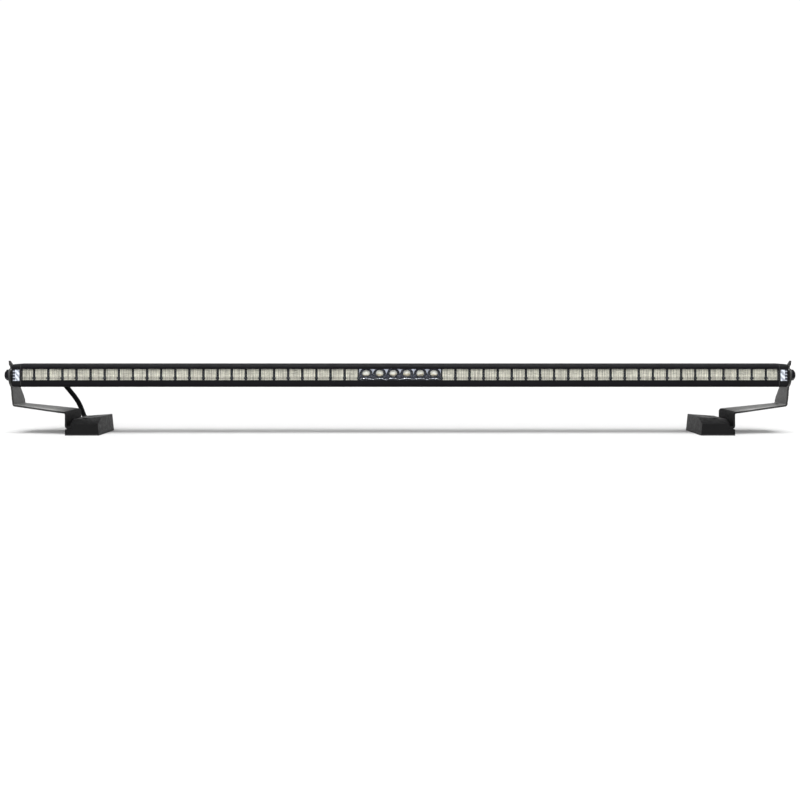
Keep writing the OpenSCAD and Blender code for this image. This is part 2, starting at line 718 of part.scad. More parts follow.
module leg_outline() {
    top = bar_bottom + bar_h;
    difference() {
        union() {
            intersection() {
                translate([pivot_y, pivot_z]) circle(head_r, $fn = 96);
                translate([-10, 0]) square([bar_d + 30, top - 1]);
            }
            polygon([[2, top + 5.4], [3.4, top + 6], [15.5, top - 1], [15.5, top - 14], [7, top - 9]]);
            polygon([[pivot_y - 11, pivot_z - 14], [12, leg_up(0.88)], [13.8, leg_up(0.76)],
                [15, leg_up(0.46)], [17.2, leg_up(0.14)], [leg_front, leg_z], [leg_back, leg_z],
                [67, leg_up(0.3)], [52, leg_up(0.86)], [pivot_y + 14, pivot_z - 4]]);
        }
        translate([5.2, top - 6.4]) circle(4);
    }
}

// Outline of the arm and the step-down plate in X and Y
module arm_outline() polygon([
    [plate_out + cut, leg_front], [plate_out + cut, leg_back],
    [plate_in - 6, leg_back], [step_out + 12, foot_d - foot_side], [flange_in - cut, foot_d - foot_side],
    [flange_in - cut, foot_side], [step_out + 12, foot_side], [plate_in - 6, leg_front]]);

// The slot for the lock screw, an arc round the tilt axis
function arc(c, r, a0, a1, n) = [for (k = [0 : n]) let (a = a0 + (a1 - a0) * k / n) c + r * [cos(a), sin(a)]];

module lock_slot() {
    r = lock_d / 2 + fit;
    w = tilt_max + 1;
    polygon(concat(
        arc([0, 0], lock_r + r, -w, w, 12),
        arc(lock_r * [cos(w), sin(w)], r, w + 20, w + 160, 7),
        arc([0, 0], lock_r - r, w, -w, 12),
        arc(lock_r * [cos(w), -sin(w)], r, -w - 160, -w - 20, 7)));
}

foot_screw_y = [14, foot_d - 14];
mount_y = [for (d = [-1, 1]) foot_d / 2 + d * mount_pitch / 2];
foot_screw_r = 2;
foot_head_t = 2.6;
counterbore_r = 6.5;
counterbore_d = 6;                               // below the foot's outer top edge

module bracket(s) color("#2a2b2e") side(s) translate([0, front_y, 0]) difference() {
    intersection() {
        along_y(0, foot_d) sheet_profile();
        union() {
            along_x(plate_in - 1, sheet_t + 2) leg_outline();
            translate([0, 0, -cut]) linear_extrude(leg_z + cut) arm_outline();
        }
    }
    translate([plate_in - cut, pivot_y, pivot_z]) rod_x(shoulder_d / 2 + run, sheet_t + 2 * cut);
    translate([0, pivot_y, pivot_z]) along_x(plate_in - cut, sheet_t + 2 * cut) lock_slot();
    for (y = mount_y) translate([bolt_x, y, 0]) cylinder(d = mount_hole_d, h = arm_z);
    for (y = foot_screw_y) translate([bolt_x, y, 0]) cylinder(r = foot_screw_r, h = lip_h + sheet_t + cut);
}

// ---------------------------------------------------------------- feet

module foot_side_outline() polygon([[0, pad_h], [foot_d, pad_h], [foot_d, foot_h + foot_rise],
    [foot_chamfer_y, foot_h + foot_rise], [0, foot_h - foot_chamfer_z]]);

module foot_front_outline() polygon([[foot_in, 0], [foot_out, 0], [foot_out, lip_h],
    [block_out, lip_h],
    [block_out + foot_lean, foot_h], [foot_in + foot_lean, foot_h + foot_rise]]);

module foot_block(s) color("#1f1f1f") side(s) translate([0, front_y, 0]) difference() {
    intersection() {
        along_x(foot_in, foot_w) foot_side_outline();
        along_y(0, foot_d) foot_front_outline();
    }
    translate([flange_in - fit, foot_side - fit, lip_h])
        cube([foot_w + 10, foot_d - 2 * (foot_side - fit), sheet_t + fit]);
    for (y = mount_y) translate([bolt_x, y, 0]) {
        cylinder(d = mount_hole_d, h = foot_h + 10);
        translate([0, 0, foot_h - counterbore_d]) cylinder(r = counterbore_r, h = foot_h);
    }
    for (y = foot_screw_y) translate([bolt_x, y, 0]) {
        cylinder(r = foot_screw_r + fit, h = lip_h + cut);
        translate([0, 0, pad_h - cut]) cylinder(r = foot_head_r + fit, h = cut + foot_head_t + fit);
    }
}

module foot_pad(s) color("#111111") side(s) translate([0, front_y, 0]) difference() {
    translate([foot_in, 0, 0]) cube([foot_w, foot_d, pad_h]);
    for (y = mount_y) translate([bolt_x, y, -cut]) cylinder(d = mount_hole_d + 2 * fit, h = pad_h + 2 * cut);
}

module foot_screws(s) color("#6f7276") side(s) translate([0, front_y, 0])
    for (y = foot_screw_y) translate([bolt_x, y, 0]) {
        top = pad_h + foot_head_t + fit;
        translate([0, 0, top - foot_head_t]) cylinder(r = foot_head_r, h = foot_head_t);
        translate([0, 0, top]) cylinder(r = foot_screw_r, h = lip_h + sheet_t - top);
    }

// ---------------------------------------------------------------- output

housing();
end_cap(-1);  // left_end_cap
end_cap(1);  // right_end_cap
end_gasket(-1);  // left_end_gasket
end_gasket(1);  // right_end_gasket
end_screws();
end_badge(-1);  // left_end_badge
end_badge(1);  // right_end_badge
front_lens();
lens_seal();
flood_lens(-1);  // left_flood_lens
flood_lens(1);  // right_flood_lens
flood_reflector(-1);  // left_flood_reflector
flood_reflector(1);  // right_flood_reflector
spot_reflector();
flood_board(-1);  // left_led_board
spot_led_board();
flood_board(1);  // right_led_board
flood_leds(-1);  // left_leds
spot_leds();
flood_leds(1);  // right_leds
board_screws();
board_jumpers();
thermal_pad();
driver_board();
driver_inductors();
driver_capacitors();
driver_chips();
supply_leads();
led_leads();
gland_body();
gland_seal();
gland_nut();
vent_body();
vent_membrane();
power_cable();
connector_housing();
connector_seal();
connector_contacts();
connector_lock();
pivot_bolts();
pivot_lock_washers();
pivot_washers();
pivot_isolators();
lock_screws();
lock_washers();
bracket(-1);  // left_bracket
bracket(1);  // right_bracket
foot_block(-1);  // left_foot_block
foot_block(1);  // right_foot_block
foot_pad(-1);  // left_foot_pad
foot_pad(1);  // right_foot_pad
foot_screws(-1);  // left_foot_screws
foot_screws(1);  // right_foot_screws
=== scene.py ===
"""The LED light bar's looks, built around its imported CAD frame."""

import json
import math

import bmesh
import bpy
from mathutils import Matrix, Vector

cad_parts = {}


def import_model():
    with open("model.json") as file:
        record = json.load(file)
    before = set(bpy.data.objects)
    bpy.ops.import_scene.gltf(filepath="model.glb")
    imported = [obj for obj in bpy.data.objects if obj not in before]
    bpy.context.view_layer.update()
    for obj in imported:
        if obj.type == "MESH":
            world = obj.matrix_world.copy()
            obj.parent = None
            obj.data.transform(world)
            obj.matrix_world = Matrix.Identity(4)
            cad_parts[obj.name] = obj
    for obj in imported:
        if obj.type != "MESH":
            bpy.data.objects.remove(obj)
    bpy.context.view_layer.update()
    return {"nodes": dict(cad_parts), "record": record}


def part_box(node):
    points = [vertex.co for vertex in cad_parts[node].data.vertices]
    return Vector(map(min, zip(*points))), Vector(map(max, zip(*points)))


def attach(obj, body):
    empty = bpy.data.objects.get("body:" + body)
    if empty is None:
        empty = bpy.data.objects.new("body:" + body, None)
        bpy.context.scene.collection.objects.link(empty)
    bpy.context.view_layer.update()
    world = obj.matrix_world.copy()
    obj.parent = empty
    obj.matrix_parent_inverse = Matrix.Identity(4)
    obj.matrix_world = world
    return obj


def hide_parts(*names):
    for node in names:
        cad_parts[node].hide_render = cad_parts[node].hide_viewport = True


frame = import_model()

MM = 0.001
SIDES = ("left", "right")
BAR = "light_bar"


# ---------------------------------------------------------------- camera

CAMERA_LENS = 47.4            # mm
SENSOR_WIDTH = 36             # mm
CAMERA_BACK = 1.763           # in front of the bar's front face
CAMERA_HEIGHT = 0.1768
CAMERA_SHIFT = -0.0875        # the horizon lies above the middle of the frame

front_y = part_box("right_end_cap")[0][1]
camera_data = bpy.data.cameras.new("camera")
camera_data.lens = CAMERA_LENS
camera_data.sensor_width = SENSOR_WIDTH
camera_data.shift_y = CAMERA_SHIFT
camera = bpy.data.objects.new("camera", camera_data)
camera.location = (0, front_y - CAMERA_BACK, CAMERA_HEIGHT)
camera.rotation_euler = (math.radians(90), 0, 0)
bpy.context.scene.collection.objects.link(camera)
bpy.context.scene.camera = camera
bpy.context.scene.view_settings.view_transform = "Standard"


# ---------------------------------------------------------------- places on the object

SHEET = 3 * MM                # thickness of the brackets' sheet
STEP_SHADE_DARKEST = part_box("right_foot_block")[1][0] + SHEET
STEP_SHADE_END = STEP_SHADE_DARKEST + 27 * MM        # painted shade on the brackets' coat darkens from here in to the step-down plate

badge_low, badge_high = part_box("right_end_badge")
BADGE_SPLIT = badge_high[0] - (badge_high[0] - badge_low[0]) / 3
BADGE_BAR_PITCH = 5 * MM
BADGE_BAR_TALL = 1.5 * MM
BADGE_BAR_LEVEL = 0.55        # of the bars, where the bright part's waves reach 1

optic_low, optic_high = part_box("right_flood_lens")
FLOOD_CELLS = 24
FLOOD_START = optic_low[0]
FLOOD_PITCH = (optic_high[0] - optic_low[0]) / FLOOD_CELLS
FLOOD_HEIGHT = optic_high[2] - optic_low[2]
CELL_GAP = 4.1 * MM
FLUTES = 7                    # upright flutes across a cell
FLUTE_WIDTH = (FLOOD_PITCH - CELL_GAP) / FLUTES

spot_low, spot_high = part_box("spot_reflector")
SPOT_CELLS = 6
SPOT_PITCH = (spot_high[0] - spot_low[0]) / SPOT_CELLS
SPOT_MID = (spot_low[2] + spot_high[2]) / 2
SPOT_HALF = (spot_high[2] - spot_low[2]) / 2


# ---------------------------------------------------------------- node helpers

NOISE_SPAN = (0.3, 0.7)       # where most values of a noise texture lie


def shade(colour, factor):
    return tuple(min(1.0, c * factor) for c in colour)


def grey(level):
    return (level, level, level)


class Tree:
    """A node tree and short ways to add and join its nodes."""

    def __init__(self, tree):
        self.tree = tree

    def add(self, kind, **values):
        node = self.tree.nodes.new("ShaderNode" + kind)
        for key, value in values.items():
            if hasattr(node, key):
                setattr(node, key, value)
            else:
                node.inputs[key.replace("_", " ")].default_value = value
        return node

    def link(self, a, b):
        self.tree.links.new(a, b)

    def parts(self, vector):
        """The outputs X, Y and Z of a vector."""
        node = self.add("SeparateXYZ")
        self.link(vector, node.inputs["Vector"])
        return node.outputs

    def calc(self, operation, *values):
        """Arithmetic on values, each a socket or a number."""
        node = self.add("Math", operation=operation)
        for socket, value in zip(node.inputs, values):
            if isinstance(value, bpy.types.NodeSocket):
                self.link(value, socket)
            else:
                socket.default_value = value
        return node.outputs["Value"]

    def product(self, first, *others):
        result = first
        for value in others:
            result = self.calc("MULTIPLY", result, value)
        return result

    def ranged(self, value, start, end, low=0.0, high=1.0):
        """low where value is start or less, high where it is end or more, even between them."""
        node = self.add("MapRange", From_Min=start, From_Max=end, To_Min=low, To_Max=high)
        self.link(value, node.inputs["Value"])
        return node.outputs["Result"]

    def ramp(self, fac, stops):
        """The colour at fac, from stops of a place and a colour."""
        node = self.add("ValToRGB")
        elements = node.color_ramp.elements
        for place, colour in stops[1:-1]:
            elements.new(place)
        for element, (place, colour) in zip(elements, stops):
            element.position = place
            element.color = (*colour, 1)
        self.link(fac, node.inputs["Fac"])
        return node.outputs["Color"]


class Finish(Tree):
    """A material, with its colour, roughness and relief."""

    def __init__(self, name, colour, roughness, metallic=0.0, specular=0.5):
        self.material = bpy.data.materials.new(name)
        self.material.use_nodes = True
        super().__init__(self.material.node_tree)
        self.shader = self.tree.nodes["Principled BSDF"]
        self.shader.inputs["Base Color"].default_value = (*colour, 1)
        self.shader.inputs["Roughness"].default_value = roughness
        self.shader.inputs["Metallic"].default_value = metallic
        self.shader.inputs["Specular IOR Level"].default_value = specular
        self.material.diffuse_color = (*colour, 1)

    def place(self, stretch=(1, 1, 1)):
        """Object coordinates in metres, stretched along each axis."""
        where = self.add("TexCoord")
        mapping = self.add("Mapping", Scale=stretch)
        self.link(where.outputs["Object"], mapping.inputs["Vector"])
        return mapping.outputs["Vector"]

    def noise(self, scale, detail=3.0, stretch=(1, 1, 1)):
        node = self.add("TexNoise", Scale=scale, Detail=detail)
        self.link(self.place(stretch), node.inputs["Vector"])
        return node.outputs["Fac"]

    def spread(self, fac, low, high):
        """The values of a noise spread between low and high."""
        return self.ranged(fac, *NOISE_SPAN, low, high)

    def paint(self, colour):
        self.link(colour, self.shader.inputs["Base Color"])

    def colours(self, fac, dark, light, at=(0.35, 0.65)):
        """Paint between dark and light."""
        self.paint(self.ramp(fac, ((at[0], dark), (at[1], light))))

    def roughness(self, fac, low, high):
        self.link(self.spread(fac, low, high), self.shader.inputs["Roughness"])

    def bump(self, height, depth):
        """Relief of that depth in metres, over the relief that is there."""
        node = self.add("Bump", Strength=1.0, Distance=depth)
        self.link(height, node.inputs["Height"])
        earlier = self.shader.inputs["Normal"].links
        if earlier:
            self.link(earlier[0].from_socket, node.inputs["Normal"])
        self.link(node.outputs["Normal"], self.shader.inputs["Normal"])


# ---------------------------------------------------------------- materials


def powder_coat(name, colour, grain=1500, depth=0.00006, specular=0.5, roughness=(0.42, 0.6)):
    """A sprayed and baked coat: a fine orange peel over a slight change of shade."""
    m = Finish(name, colour, sum(roughness) / 2, specular=specular)
    m.colours(m.noise(40, 4), shade(colour, 0.8), shade(colour, 1.25))
    m.roughness(m.noise(250, 3), *roughness)
    m.bump(m.noise(grain, 2), depth)
    m.bump(m.noise(grain / 5, 2), depth * 2)
    return m.material


def bracket_coat_painted_shade_and_light(name, colour):
    """Satin coat on bent sheet, with painted shade on front-facing cut edges and towards the step, and
    painted light where it faces up.
    """
    m = Finish(name, colour, 0.5, specular=0.4)
    turned = m.parts(m.add("TexCoord").outputs["Normal"])
    # painted shade: faces turned to the front, the sheet's cut edges, are darkened
    edge = m.ranged(turned["Y"], -0.85, -0.45, low=0.06)
    across = m.calc("ABSOLUTE", m.parts(m.place())["X"])
    # painted shade between arm and foot, darkest at the step-down plate
    step = m.ranged(across, STEP_SHADE_DARKEST, STEP_SHADE_END, low=0.08)
    # painted light: faces turned up are lighter
    painted_top_light = m.ranged(turned["Z"], 0.5, 0.9, low=0.32)
    grain = m.spread(m.noise(330, 4), 0.7, 1.0)
    level = m.product(edge, step, painted_top_light, grain)
    m.colours(level, shade(colour, 0.03), shade(colour, 1.25), at=(0.0, 1.0))
    m.roughness(m.noise(250, 3), 0.42, 0.6)
    m.bump(m.noise(1100, 2), 0.00009)
    m.bump(m.noise(220, 2), 0.00018)
    return m.material


def moulded(name, colour, grain=900, depth=0.00004, specular=0.45, roughness=(0.45, 0.62)):
    """Moulded plastic with a spark-eroded grain."""
    m = Finish(name, colour, sum(roughness) / 2, specular=specular)
    m.colours(m.noise(25, 4), shade(colour, 0.8), shade(colour, 1.2))
    m.roughness(m.noise(120, 3), *roughness)
    cells = m.add("TexVoronoi", Scale=grain)
    m.link(m.place(), cells.inputs["Vector"])
    m.bump(cells.outputs["Distance"], depth)
    return m.material


def rubber(name, colour, roughness=(0.6, 0.8)):
    m = Finish(name, colour, sum(roughness) / 2, specular=0.35)
    m.colours(m.noise(60, 4), shade(colour, 0.75), shade(colour, 1.3))
    m.roughness(m.noise(300, 4), *roughness)
    m.bump(m.noise(1800, 3), 0.00004)
    return m.material


def plated(name, colour, roughness=(0.2, 0.35)):
    m = Finish(name, colour, sum(roughness) / 2, metallic=1.0)
    m.colours(m.noise(150, 4), shade(colour, 0.8), shade(colour, 1.12))
    m.roughness(m.noise(500, 4), *roughness)
    m.bump(m.noise(900, 3), 0.00003)
    return m.material


def mirror_coat(name, colour, roughness):
    """Metallised plastic: nearly a mirror, with the ripple of its moulding."""
    m = Finish(name, colour, roughness[0], metallic=1.0)
    m.colours(m.noise(180, 2), shade(colour, 0.9), shade(colour, 1.05))
    m.roughness(m.noise(350, 3), *roughness)
    m.bump(m.noise(260, 2), 0.00004)
    return m.material


def solder_mask(name, colour):
    """A circuit board: mask over a faint pattern of tracks."""
    m = Finish(name, colour, 0.35, specular=0.5)
    tracks = m.add("TexBrick", Scale=1.0, Brick_Width=0.009, Row_Height=0.0022, Mortar_Size=0.0003)
    turned = m.add("Mapping", Rotation=(math.radians(90), 0, 0))
    m.link(m.place(), turned.inputs["Vector"])
    m.link(turned.outputs["Vector"], tracks.inputs["Vector"])
    m.colours(tracks.outputs["Fac"], colour, shade(colour, 0.7), at=(0.2, 0.8))
    m.roughness(m.noise(200, 3), 0.25, 0.45)
    m.bump(tracks.outputs["Fac"], 0.00003)
    return m.material


def clear_plastic(name):
    """The front lens: clear, with a hard coat."""
    m = Finish(name, (0.08, 0.09, 0.1), 0.06, specular=0.5)
    m.shader.inputs["Alpha"].default_value = 0.1
    m.roughness(m.noise(60, 3), 0.03, 0.1)
    m.bump(m.noise(9, 2, (0.2, 1, 1)), 0.00006)
    return m.material


DOME_SHADE = (-4.6 * MM, 3.2 * MM)      # heights from a cell's middle that the painted light and shade span
DOME_PAINTED_LIGHT = (                # painted light up a spot lens: painted shade at its foot to a painted highlight at its cream top
    (0.0, (0.012, 0.012, 0.015)),
    (0.2, (0.1, 0.095, 0.085)),
    (0.4, (0.3, 0.27, 0.21)),
    (0.62, (0.8, 0.72, 0.5)),
    (0.72, (0.97, 0.97, 0.88)),
)


def dome(name):
    """A cream spot lens with painted light: a painted highlight above, painted shade with faint curved
    bands below.
    """
    m = Finish(name, (0.8, 0.79, 0.7), 0.14, specular=0.6)
    # painted light and shade by height: lighter above the cell's middle, darker below
    up = m.ranged(m.parts(m.place())["Z"], SPOT_MID + DOME_SHADE[0], SPOT_MID + DOME_SHADE[1])
    swirl = m.spread(m.noise(210, 3, (1, 1, 2)), -0.22, 0.22)
    m.paint(m.ramp(m.calc("ADD", up, swirl), DOME_PAINTED_LIGHT))
    m.roughness(m.noise(300, 3), 0.1, 0.2)
    m.bump(m.noise(500, 2), 0.00003)
    return m.material


def badge(name):
    """A bright insert with soft grey waves, its outer third dark with grey bars."""
    m = Finish(name, (0.8, 0.84, 0.92), 0.3, metallic=0.3, specular=0.6)
    where = m.parts(m.place())
    outer = m.calc("GREATER_THAN", m.calc("ABSOLUTE", where["X"]), BADGE_SPLIT)
    waves = m.add("TexWave", Scale=70.0, Distortion=3.0, bands_direction="DIAGONAL")
    m.link(m.place((1, 0, 1)), waves.inputs["Vector"])
    soft = m.ranged(waves.outputs["Fac"], 0.0, 1.0, low=0.4)
    bars = m.calc("PINGPONG", where["Z"], BADGE_BAR_PITCH / 2)
    lit = m.calc("GREATER_THAN", bars, (BADGE_BAR_PITCH - BADGE_BAR_TALL) / 2)
    mix = m.add("Mix")
    m.link(outer, mix.inputs["Factor"])
    m.link(soft, mix.inputs["A"])
    m.link(m.calc("MULTIPLY", lit, BADGE_BAR_LEVEL), mix.inputs["B"])
    m.colours(mix.outputs["Result"], (0.02, 0.022, 0.035), (0.6, 0.64, 0.72), at=(0.1, 0.95))
    m.roughness(m.noise(300, 3), 0.22, 0.4)
    m.bump(m.noise(700, 3), 0.00003)
    return m.material


FLOOD_PAINTED_LIGHT = (               # painted light and shade: how light a tile is, by share of its height
    (0.0, 0.35), (0.1, 0.6), (0.17, 0.38), (0.3, 0.55), (0.42, 0.82),
    (0.52, 0.66), (0.66, 0.86), (0.84, 0.98), (1.0, 1.0),
)


def flood_ivory_painted_light(name):
    """Warm moulded optics with painted shade in the valleys between flutes and painted light and shade in
    bands up each tile, darker towards the bottom.
    """
    m = Finish(name, (0.72, 0.7, 0.6), 0.3)
    where = m.parts(m.place())
    across = m.calc("SUBTRACT", m.calc("ABSOLUTE", where["X"]), FLOOD_START + CELL_GAP / 2)
    valley = m.calc("PINGPONG", m.calc("FLOORED_MODULO", across, FLOOD_PITCH), FLUTE_WIDTH / 2)
    # painted shade in the valleys between flutes
    valley_shade = m.ranged(valley, 0.0, FLUTE_WIDTH / 2, low=0.5)
    up = m.ranged(where["Z"], optic_low[2], optic_high[2])
    # painted light and shade by height up each tile, darker towards the bottom
    bands = m.ramp(up, [(place, grey(level)) for place, level in FLOOD_PAINTED_LIGHT])
    streaks = m.spread(m.noise(620, 2, (1, 0.05, 0.05)), 0.55, 1.25)
    clouds = m.spread(m.noise(120, 3, (1, 1, 2.5)), 0.85, 1.15)
    level = m.product(valley_shade, bands, m.product(streaks, clouds))
    m.colours(level, (0.03, 0.027, 0.02), (0.97, 0.95, 0.8), at=(0.0, 0.86))
    m.roughness(m.noise(300, 2), 0.2, 0.36)
    m.bump(m.noise(420, 2), 0.00004)
    return m.material


def braided_sleeve(name):
    m = Finish(name, (0.002, 0.002, 0.003), 0.5, specular=0.06)
    m.colours(m.noise(700, 3), (0.0008, 0.0008, 0.001), (0.004, 0.004, 0.005))
    m.roughness(m.noise(500, 3), 0.42, 0.62)
    m.bump(m.noise(2600, 2), 0.00004)
    return m.material


MATERIALS = {
    "housing_black": powder_coat("housing_black", (0.0021, 0.002, 0.0029), specular=0.08),
    "cap_black": powder_coat("cap_black", (0.0024, 0.0024, 0.003), specular=0.1),
    "badge_silver": badge("badge_silver"),
    "gasket_rubber": rubber("gasket_rubber", (0.018, 0.018, 0.018)),
    "lens_clear": clear_plastic("lens_clear"),
    # dark mirror colour of the spot cups: a painted dark reflection
    "mirror_painted_dark": mirror_coat("mirror_painted_dark", (0.045, 0.047, 0.07), (0.08, 0.16)),
    # bright silver for the upper spot plate: a painted highlight
    "plate_painted_highlight": plated("plate_painted_highlight", (0.62, 0.66, 0.78), (0.25, 0.4)),
    "silver_bead": plated("silver_bead", (0.5, 0.52, 0.56), (0.2, 0.32)),
    "dome_cream_painted_light": dome("dome_cream_painted_light"),
    "flood_ivory_painted_light": flood_ivory_painted_light("flood_ivory_painted_light"),
    "flood_walls": moulded("flood_walls", (0.004, 0.004, 0.0045), specular=0.1),
    "board_white": solder_mask("board_white", (0.78, 0.78, 0.75)),
    "led_phosphor": moulded("led_phosphor", (0.85, 0.62, 0.12), grain=2500, roughness=(0.3, 0.45)),
    "steel_zinc": plated("steel_zinc", (0.62, 0.63, 0.66)),
    "steel_black": plated("steel_black", (0.014, 0.014, 0.016), (0.3, 0.45)),
    "copper": plated("copper", (0.75, 0.48, 0.3)),
    "thermal_grey": rubber("thermal_grey", (0.36, 0.38, 0.42)),
    "board_green": solder_mask("board_green", (0.03, 0.2, 0.08)),
    "component_dark": moulded("component_dark", (0.006, 0.006, 0.007), specular=0.15),
    "component_blue": plated("component_blue", (0.16, 0.24, 0.4), (0.35, 0.5)),
    "lead_red": rubber("lead_red", (0.45, 0.03, 0.03), (0.35, 0.5)),
    "braided_sleeve": braided_sleeve("braided_sleeve"),
    "gland_plastic": moulded("gland_plastic", (0.014, 0.014, 0.016)),
    "membrane": rubber("membrane", (0.62, 0.64, 0.65)),
    "connector_plastic": moulded("connector_plastic", (0.022, 0.022, 0.025)),
    "seal_orange": rubber("seal_orange", (0.6, 0.16, 0.03), (0.4, 0.6)),
    "lock_orange": moulded("lock_orange", (0.65, 0.22, 0.04)),
    "bracket_black": bracket_coat_painted_shade_and_light("bracket_black", (0.21, 0.21, 0.205)),
    # near-black matt coat: painted shade on the step-down plate between arm and foot
    "step_painted_shade": powder_coat("step_painted_shade", (0.006, 0.006, 0.0065), specular=0.08, roughness=(0.6, 0.8)),
    "foot_plastic": powder_coat(
        "foot_plastic", (0.0016, 0.0016, 0.0018), grain=900, depth=0.00008, specular=0.13
    ),
    "pad_rubber": rubber("pad_rubber", (0.006, 0.006, 0.006)),
}

SLOT_OF = {part["node"]: part["material_slot"] for part in frame["record"]["subparts"]}


def wear(piece, slot, look=None):
    piece.data.materials.clear()
    piece.data.materials.append(MATERIALS[look or slot])


# ---------------------------------------------------------------- mesh helpers


def new_mesh(name, points, faces):
    mesh = bpy.data.meshes.new(name)
    mesh.from_pydata(points, [], faces)
    mesh.update()
    return mesh


def grid_mesh(name, points, rows, columns):
    """A closed tube from rows of points, one quad between neighbours and a cap at each end."""
    faces = []
    for i in range(rows - 1):
        for j in range(columns):
            k = (j + 1) % columns
            faces.append((i * columns + j, i * columns + k, (i + 1) * columns + k, (i + 1) * columns + j))
    faces.append(tuple(reversed(range(columns))))
    faces.append(tuple((rows - 1) * columns + j for j in range(columns)))
    return new_mesh(name, points, faces)


def circle(radius, sides):
    """The places round a circle, as pairs."""
    turns = [2 * math.pi * k / sides for k in range(sides)]
    return [(radius * math.cos(w), radius * math.sin(w)) for w in turns]


def make(name, mesh, body, slot, look=None):
    """An object of the mesh, shaded smooth, that rides on a body."""
    piece = bpy.data.objects.new(name, mesh)
    bpy.context.scene.collection.objects.link(piece)
    mesh.shade_smooth()
    wear(piece, slot, look)
    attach(piece, body)
    return piece


def sharpen(mesh, degrees):
    """Keep the edges sharp that turn by more than that."""
    mesh.set_sharp_from_angle(angle=math.radians(degrees))


def body_of(node):
    for body, nodes in frame["record"]["behaviour"]["bodies"].items():
        if node in nodes:
            return body


# ---------------------------------------------------------------- cable

CABLE_D = 8.6 * MM
CABLE_POINTS = [
    Vector(p) * MM
    for p in (
        (-598, -7, 99.2), (-598, 4, 99.2), (-598, 15, 99.2), (-598, 26, 98.6),
        (-598, 37, 95.6), (-597.4, 47, 90.2), (-595.4, 56, 82.8), (-592, 64, 74.6),
        (-587.6, 72, 65.8), (-583, 80, 56.4), (-579.4, 88, 46.6), (-577.2, 95.6, 36.6),
        (-576, 103, 27.2), (-575.2, 111, 19), (-574.4, 120, 12.6), (-573.2, 130, 8.8),
        (-571.8, 141, 7.6), (-570.6, 151, 7.5), (-570, 161, 7.6), (-570, 174, 7.6),
    )
]
CABLE_SIDES = 40
CABLE_STEPS = 28              # rings between two points of the route
BRAID_TURNS = 8               # strands each way round the sleeve
BRAID_PITCH = 20 * MM         # length in which a strand goes once round
BRAID_DEPTH = 0.22 * MM


def spline(points, steps):
    """A Catmull-Rom curve through the points."""
    ends = [2 * points[0] - points[1], *points, 2 * points[-1] - points[-2]]
    line = []
    for i in range(1, len(ends) - 2):
        a, b, c, d = ends[i - 1 : i + 3]
        for k in range(steps):
            t = k / steps
            line.append(
                0.5 * (2 * b + (c - a) * t + (2 * a - 5 * b + 4 * c - d) * t * t
                + (3 * b - a - 3 * c + d) * t**3)
            )
    return [*line, points[-1]]


def braid_height(turn, along):
    """How proud the braid stands there: crossing strands, over and under."""
    one = BRAID_TURNS * (turn - along / BRAID_PITCH)
    other = BRAID_TURNS * (turn + along / BRAID_PITCH)
    right = abs(math.sin(math.pi * one))
    left = abs(math.sin(math.pi * other))
    over = (math.floor(one) + math.floor(other)) % 2
    return max(right, 0.75 * left) if over else max(left, 0.75 * right)


def cable():
    """The braided sleeve along the cable's route, and the route."""
    line = spline(CABLE_POINTS, CABLE_STEPS)
    points = []
    along = 0.0
    for i, middle in enumerate(line):
        if i:
            along += (middle - line[i - 1]).length
        ahead = (line[min(i + 1, len(line) - 1)] - line[max(i - 1, 0)]).normalized()
        up = ahead.cross(Vector((1, 0, 0))).normalized()
        side = ahead.cross(up)
        for k in range(CABLE_SIDES):
            turn = k / CABLE_SIDES
            r = CABLE_D / 2 - BRAID_DEPTH * (1 - braid_height(turn, along))
            w = 2 * math.pi * turn
            points.append(middle + r * (math.cos(w) * up + math.sin(w) * side))
    mesh = grid_mesh("power_cable_sleeve", points, len(line), CABLE_SIDES)
    piece = make("power_cable_sleeve", mesh, BAR, "cable_jacket", look="braided_sleeve")
    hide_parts("power_cable")
    return piece, line


cable_piece, cable_line = cable()


# ---------------------------------------------------------------- flood optics

FLUTE_POINTS = 8              # across a flute
FLUTE_DEPTH = 0.55 * MM
SHELVES = 5                   # up a cell
SHELF_SHARES = (0.0, 0.3, 0.65, 0.94)   # where the rows of points lie up a shelf
LAST_SHARE = 0.9999           # the tile's top belongs to its last shelf
SHELF_DEPTH = 0.35 * MM
BOWL_DEPTH = 0.5 * MM
RIM_SHARE = 0.035             # of a tile's height, at its top and bottom
RIM_PROUD = 0.07 * MM
TILE_SET_BACK = 0.1 * MM      # from the front and back of the optics
TILE_INSET = 0.4 * MM         # from their top and bottom
CLIP = (6.2 * MM, 1.3 * MM, 3.0 * MM)   # across, deep and high
CLIP_EDGE = 0.25 * MM
CLIP_UP = 2.4 * MM            # from the optics' underside
CLIP_PROUD = 0.7 * MM         # in front of the optics


def tile_depth(u, v):
    """How far a tile's front lies behind the optics' front face, by place across and up."""
    bowl = BOWL_DEPTH * (1 - (2 * u - 1) ** 4)
    flute = math.sqrt(max(0.0, 1 - (2 * ((u * FLUTES) % 1.0) - 1) ** 2))
    shelf = (v * SHELVES) % 1.0
    rim = RIM_PROUD if min(v, 1 - v) < RIM_SHARE else 0.0
    return TILE_SET_BACK + bowl + FLUTE_DEPTH * (1 - flute) + SHELF_DEPTH * shelf - rim


